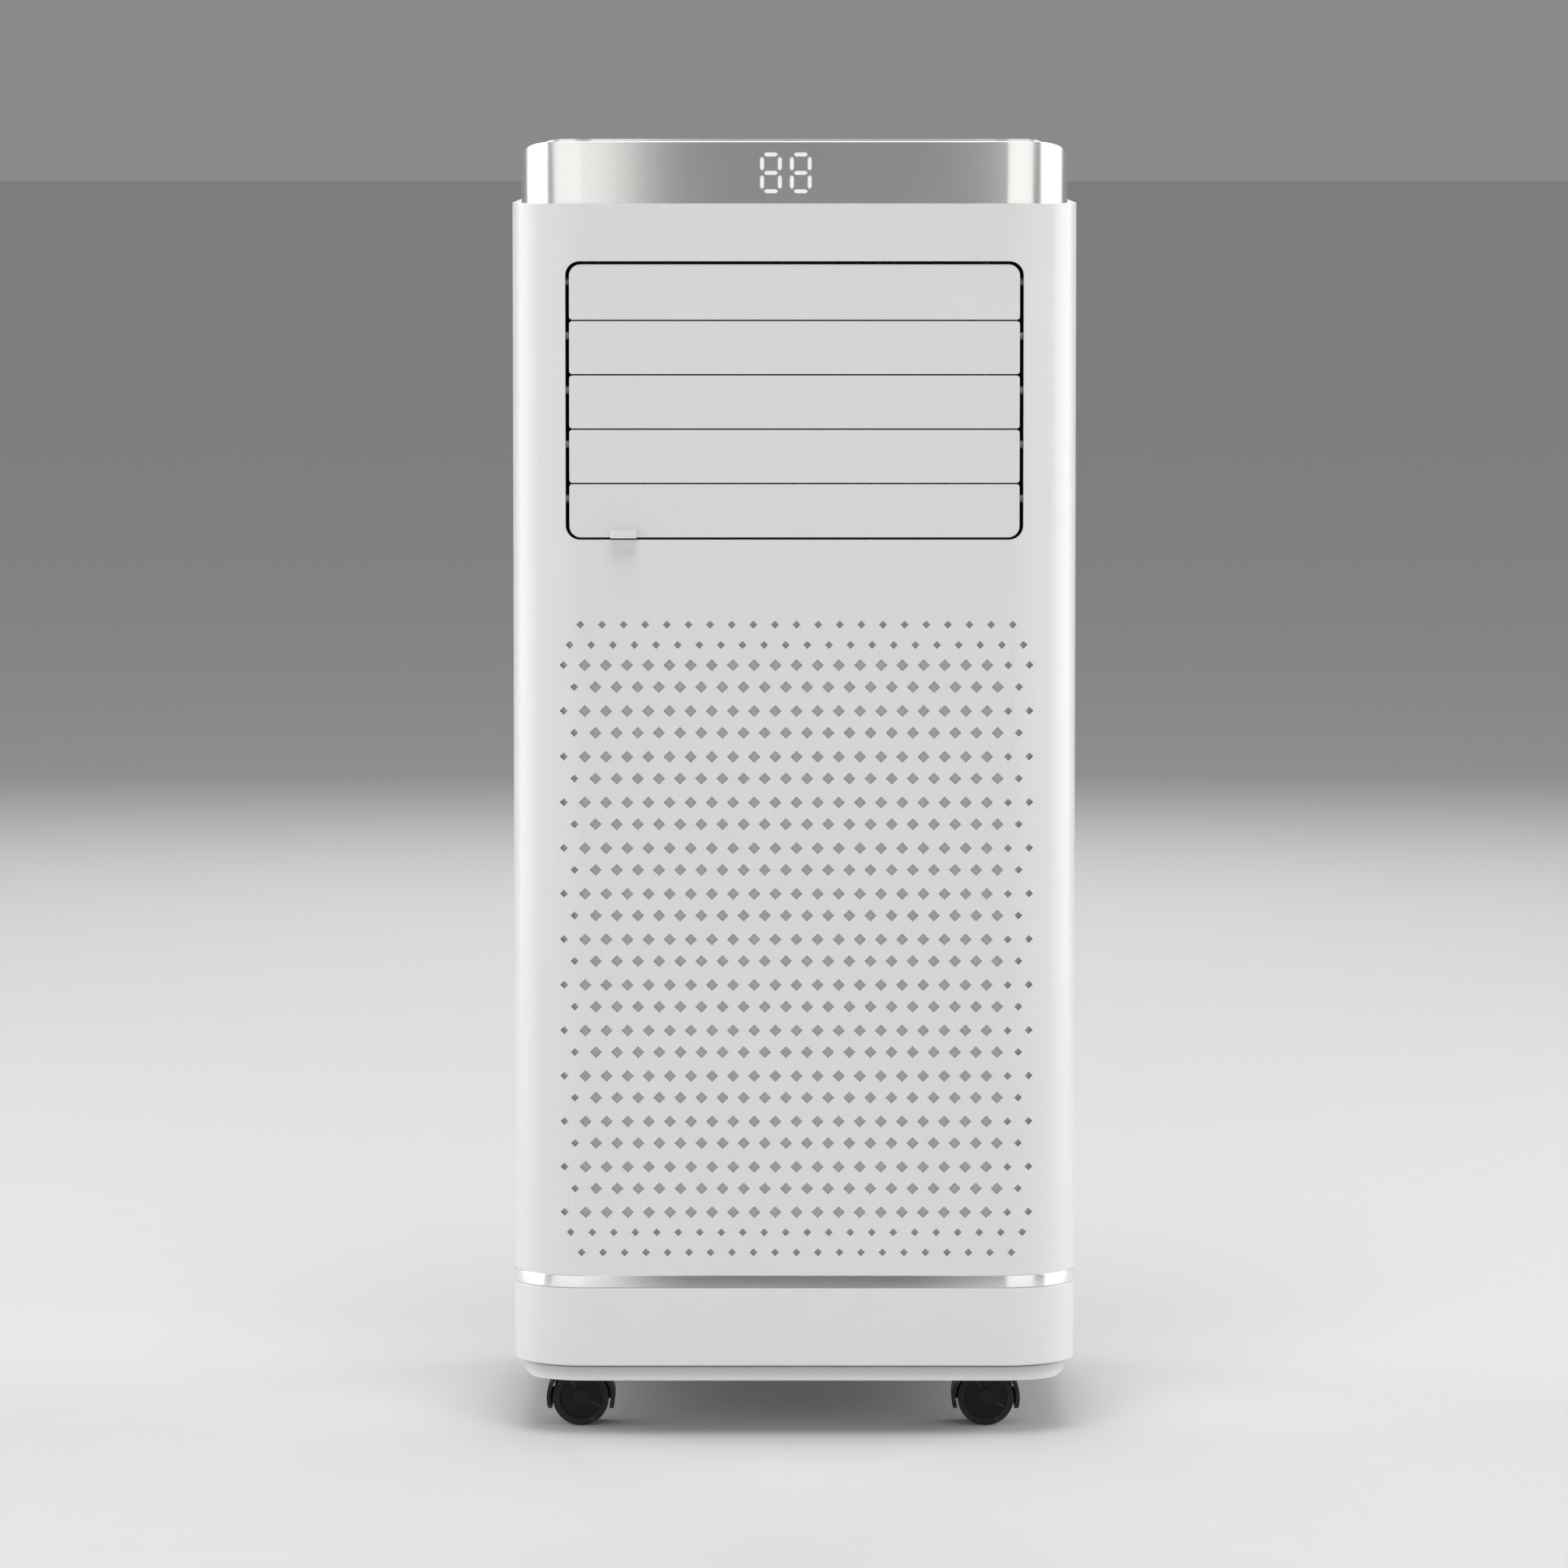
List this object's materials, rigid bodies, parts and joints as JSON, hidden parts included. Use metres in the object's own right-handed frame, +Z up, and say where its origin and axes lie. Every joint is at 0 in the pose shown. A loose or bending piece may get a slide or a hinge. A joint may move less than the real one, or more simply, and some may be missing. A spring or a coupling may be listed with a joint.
{
  "type": "portable air conditioner",
  "caption": "Upright portable air conditioner with tilting outlet blades, perforated front intake, silver top band with a two-digit display, and swivel casters.",
  "frame": {"origin": "on the floor, under the middle of the body", "axes": "+Z up, the front faces -Y, +X to the right seen from the front"},
  "size_m": [0.298, 0.316, 0.6856],
  "materials": {
    "casing_white": "semi-gloss moulded ABS",
    "blade_white": "semi-gloss moulded ABS",
    "duct_grey": "moulded, dark",
    "silver_trim": "satin plated plastic",
    "panel_black": "gloss panel",
    "button_silver": "satin painted plastic",
    "digit_lens": "milky light guide",
    "circuit_board": "resist-coated board",
    "liner_felt": "pale non-woven",
    "filter_nylon": "fine nylon mesh",
    "collar_grey": "textured",
    "black_rubber": "matte",
    "zinc_steel": "zinc plated",
    "foam_plastic": "moulded polystyrene",
    "fan_plastic": "glass-filled nylon",
    "coil_fins": "finned aluminium",
    "copper_pipe": "drawn copper",
    "compressor_black": "black enamel",
    "caster_black": "black nylon"
  },
  "bodies": {
    "chassis": {"front_casing": "casing_white", "rear_casing": "casing_white", "upper_rear_casing": "casing_white", "lower_skirt": "casing_white", "trim_strip": "silver_trim", "base_pan": "casing_white", "top_band": "silver_trim", "top_cover": "casing_white", "control_panel": "panel_black", "display_digits": "digit_lens", "circuit_boards": "circuit_board", "outlet_frame": "duct_grey", "grille_liner": "liner_felt", "exhaust_collar": "collar_grey", "cord_gland": "black_rubber", "side_handles": "collar_grey", "casing_screws": "zinc_steel", "drip_tray": "foam_plastic", "blower_housing": "foam_plastic", "blower_motor": "zinc_steel", "evaporator_coil": "coil_fins", "exhaust_housing": "foam_plastic", "exhaust_motor": "zinc_steel", "condenser_coil": "coil_fins", "compressor": "compressor_black", "compressor_feet": "black_rubber", "refrigerant_pipes": "copper_pipe", "control_box": "zinc_steel"},
    "louver_1": {"louver_1": "blade_white"},
    "louver_2": {"louver_2": "blade_white"},
    "louver_3": {"louver_3": "blade_white"},
    "louver_4": {"louver_4": "blade_white"},
    "louver_5": {"louver_5": "blade_white"},
    "louver_link": {"louver_link": "duct_grey"},
    "vane_1": {"vane_1": "duct_grey"},
    "vane_2": {"vane_2": "duct_grey"},
    "vane_3": {"vane_3": "duct_grey"},
    "vane_4": {"vane_4": "duct_grey"},
    "vane_5": {"vane_5": "duct_grey"},
    "vane_link": {"vane_link": "duct_grey"},
    "caster_swivel_1": {"caster_housing_1": "caster_black"},
    "caster_roll_1": {"caster_wheels_1": "caster_black"},
    "caster_swivel_2": {"caster_housing_2": "caster_black"},
    "caster_roll_2": {"caster_wheels_2": "caster_black"},
    "caster_swivel_3": {"caster_housing_3": "caster_black"},
    "caster_roll_3": {"caster_wheels_3": "caster_black"},
    "caster_swivel_4": {"caster_housing_4": "caster_black"},
    "caster_roll_4": {"caster_wheels_4": "caster_black"},
    "blower_wheel": {"blower_wheel": "fan_plastic"},
    "exhaust_wheel": {"exhaust_wheel": "fan_plastic"},
    "power_button": {"power_button": "button_silver"},
    "mode_button": {"mode_button": "button_silver"},
    "fan_button": {"fan_button": "button_silver"},
    "timer_button": {"timer_button": "button_silver"},
    "cooler_button": {"cooler_button": "button_silver"},
    "warmer_button": {"warmer_button": "button_silver"},
    "filter_door": {"filter_door": "casing_white", "filter_mesh": "filter_nylon"},
    "upper_drain_cap": {"upper_drain_cap": "black_rubber"},
    "lower_drain_cap": {"lower_drain_cap": "black_rubber"}
  },
  "joints": [
    {"name": "louver_1_tilt", "type": "hinge", "parent": "chassis", "child": "louver_1", "pos_m": [0, -0.1395, 0.61251], "axis": [-1, 0, 0], "range_deg": [0, 70]},
    {"name": "louver_2_tilt", "type": "hinge", "parent": "chassis", "child": "louver_2", "pos_m": [0, -0.1395, 0.58397], "axis": [-1, 0, 0], "range_deg": [0, 70]},
    {"name": "louver_3_tilt", "type": "hinge", "parent": "chassis", "child": "louver_3", "pos_m": [0, -0.1395, 0.55543], "axis": [-1, 0, 0], "range_deg": [0, 70]},
    {"name": "louver_4_tilt", "type": "hinge", "parent": "chassis", "child": "louver_4", "pos_m": [0, -0.1395, 0.52689], "axis": [-1, 0, 0], "range_deg": [0, 70]},
    {"name": "louver_5_tilt", "type": "hinge", "parent": "chassis", "child": "louver_5", "pos_m": [0, -0.1395, 0.49835], "axis": [-1, 0, 0], "range_deg": [0, 70]},
    {"name": "louver_link_pin", "type": "hinge", "parent": "louver_3", "child": "louver_link", "pos_m": [0, -0.1325, 0.56343], "axis": [-1, 0, 0], "range_deg": [-70, 0]},
    {"name": "vane_1_swing", "type": "hinge", "parent": "chassis", "child": "vane_1", "pos_m": [-0.08, -0.108, 0.55], "axis": [0, 0, 1], "range_deg": [-40, 40]},
    {"name": "vane_2_swing", "type": "hinge", "parent": "chassis", "child": "vane_2", "pos_m": [-0.04, -0.108, 0.55], "axis": [0, 0, 1], "range_deg": [-40, 40]},
    {"name": "vane_3_swing", "type": "hinge", "parent": "chassis", "child": "vane_3", "pos_m": [0, -0.108, 0.55], "axis": [0, 0, 1], "range_deg": [-40, 40]},
    {"name": "vane_4_swing", "type": "hinge", "parent": "chassis", "child": "vane_4", "pos_m": [0.04, -0.108, 0.55], "axis": [0, 0, 1], "range_deg": [-40, 40]},
    {"name": "vane_5_swing", "type": "hinge", "parent": "chassis", "child": "vane_5", "pos_m": [0.08, -0.108, 0.55], "axis": [0, 0, 1], "range_deg": [-40, 40]},
    {"name": "vane_link_pin", "type": "hinge", "parent": "vane_3", "child": "vane_link", "pos_m": [0, -0.098, 0.48], "axis": [0, 0, 1], "range_deg": [-40, 40]},
    {"name": "caster_1_swivel", "type": "hinge", "parent": "chassis", "child": "caster_swivel_1", "pos_m": [-0.1084, -0.092, 0.05], "axis": [0, 0, 1], "continuous": true},
    {"name": "caster_1_roll", "type": "hinge", "parent": "caster_swivel_1", "child": "caster_roll_1", "pos_m": [-0.1143, -0.092, 0.015], "axis": [0, 1, 0], "continuous": true},
    {"name": "caster_2_swivel", "type": "hinge", "parent": "chassis", "child": "caster_swivel_2", "pos_m": [0.1084, -0.092, 0.05], "axis": [0, 0, 1], "continuous": true},
    {"name": "caster_2_roll", "type": "hinge", "parent": "caster_swivel_2", "child": "caster_roll_2", "pos_m": [0.1025, -0.092, 0.015], "axis": [0, 1, 0], "continuous": true},
    {"name": "caster_3_swivel", "type": "hinge", "parent": "chassis", "child": "caster_swivel_3", "pos_m": [0.1084, 0.092, 0.05], "axis": [0, 0, 1], "continuous": true},
    {"name": "caster_3_roll", "type": "hinge", "parent": "caster_swivel_3", "child": "caster_roll_3", "pos_m": [0.1025, 0.092, 0.015], "axis": [0, 1, 0], "continuous": true},
    {"name": "caster_4_swivel", "type": "hinge", "parent": "chassis", "child": "caster_swivel_4", "pos_m": [-0.1084, 0.092, 0.05], "axis": [0, 0, 1], "continuous": true},
    {"name": "caster_4_roll", "type": "hinge", "parent": "caster_swivel_4", "child": "caster_roll_4", "pos_m": [-0.1143, 0.092, 0.015], "axis": [0, 1, 0], "continuous": true},
    {"name": "blower_spin", "type": "hinge", "parent": "chassis", "child": "blower_wheel", "pos_m": [0, 0.005, 0.492], "axis": [1, 0, 0], "continuous": true},
    {"name": "exhaust_spin", "type": "hinge", "parent": "chassis", "child": "exhaust_wheel", "pos_m": [0.02, 0.085, 0.21], "axis": [0, 1, 0], "continuous": true},
    {"name": "power_press", "type": "slide", "parent": "chassis", "child": "power_button", "axis": [0, 0, -1], "range_m": [0, 0.001], "stiffness_N_per_m": 400, "springref_m": -0.0005},
    {"name": "mode_press", "type": "slide", "parent": "chassis", "child": "mode_button", "axis": [0, 0, -1], "range_m": [0, 0.001], "stiffness_N_per_m": 400, "springref_m": -0.0005},
    {"name": "fan_press", "type": "slide", "parent": "chassis", "child": "fan_button", "axis": [0, 0, -1], "range_m": [0, 0.001], "stiffness_N_per_m": 400, "springref_m": -0.0005},
    {"name": "timer_press", "type": "slide", "parent": "chassis", "child": "timer_button", "axis": [0, 0, -1], "range_m": [0, 0.001], "stiffness_N_per_m": 400, "springref_m": -0.0005},
    {"name": "cooler_press", "type": "slide", "parent": "chassis", "child": "cooler_button", "axis": [0, 0, -1], "range_m": [0, 0.001], "stiffness_N_per_m": 400, "springref_m": -0.0005},
    {"name": "warmer_press", "type": "slide", "parent": "chassis", "child": "warmer_button", "axis": [0, 0, -1], "range_m": [0, 0.001], "stiffness_N_per_m": 400, "springref_m": -0.0005},
    {"name": "filter_pull", "type": "slide", "parent": "chassis", "child": "filter_door", "axis": [0, 1, 0], "range_m": [0, 0.06]},
    {"name": "upper_cap_pull", "type": "slide", "parent": "chassis", "child": "upper_drain_cap", "axis": [0, 1, 0], "range_m": [0, 0.03]},
    {"name": "lower_cap_pull", "type": "slide", "parent": "chassis", "child": "lower_drain_cap", "axis": [0, 1, 0], "range_m": [0, 0.03]}
  ],
  "couplings": [
    {"joint": "louver_1_tilt", "follows": "louver_5_tilt", "ratio": 1},
    {"joint": "louver_2_tilt", "follows": "louver_5_tilt", "ratio": 1},
    {"joint": "louver_3_tilt", "follows": "louver_5_tilt", "ratio": 1},
    {"joint": "louver_4_tilt", "follows": "louver_5_tilt", "ratio": 1},
    {"joint": "louver_link_pin", "follows": "louver_5_tilt", "ratio": -1},
    {"joint": "vane_1_swing", "follows": "vane_3_swing", "ratio": 1},
    {"joint": "vane_2_swing", "follows": "vane_3_swing", "ratio": 1},
    {"joint": "vane_4_swing", "follows": "vane_3_swing", "ratio": 1},
    {"joint": "vane_5_swing", "follows": "vane_3_swing", "ratio": 1},
    {"joint": "vane_link_pin", "follows": "vane_3_swing", "ratio": -1}
  ]
}
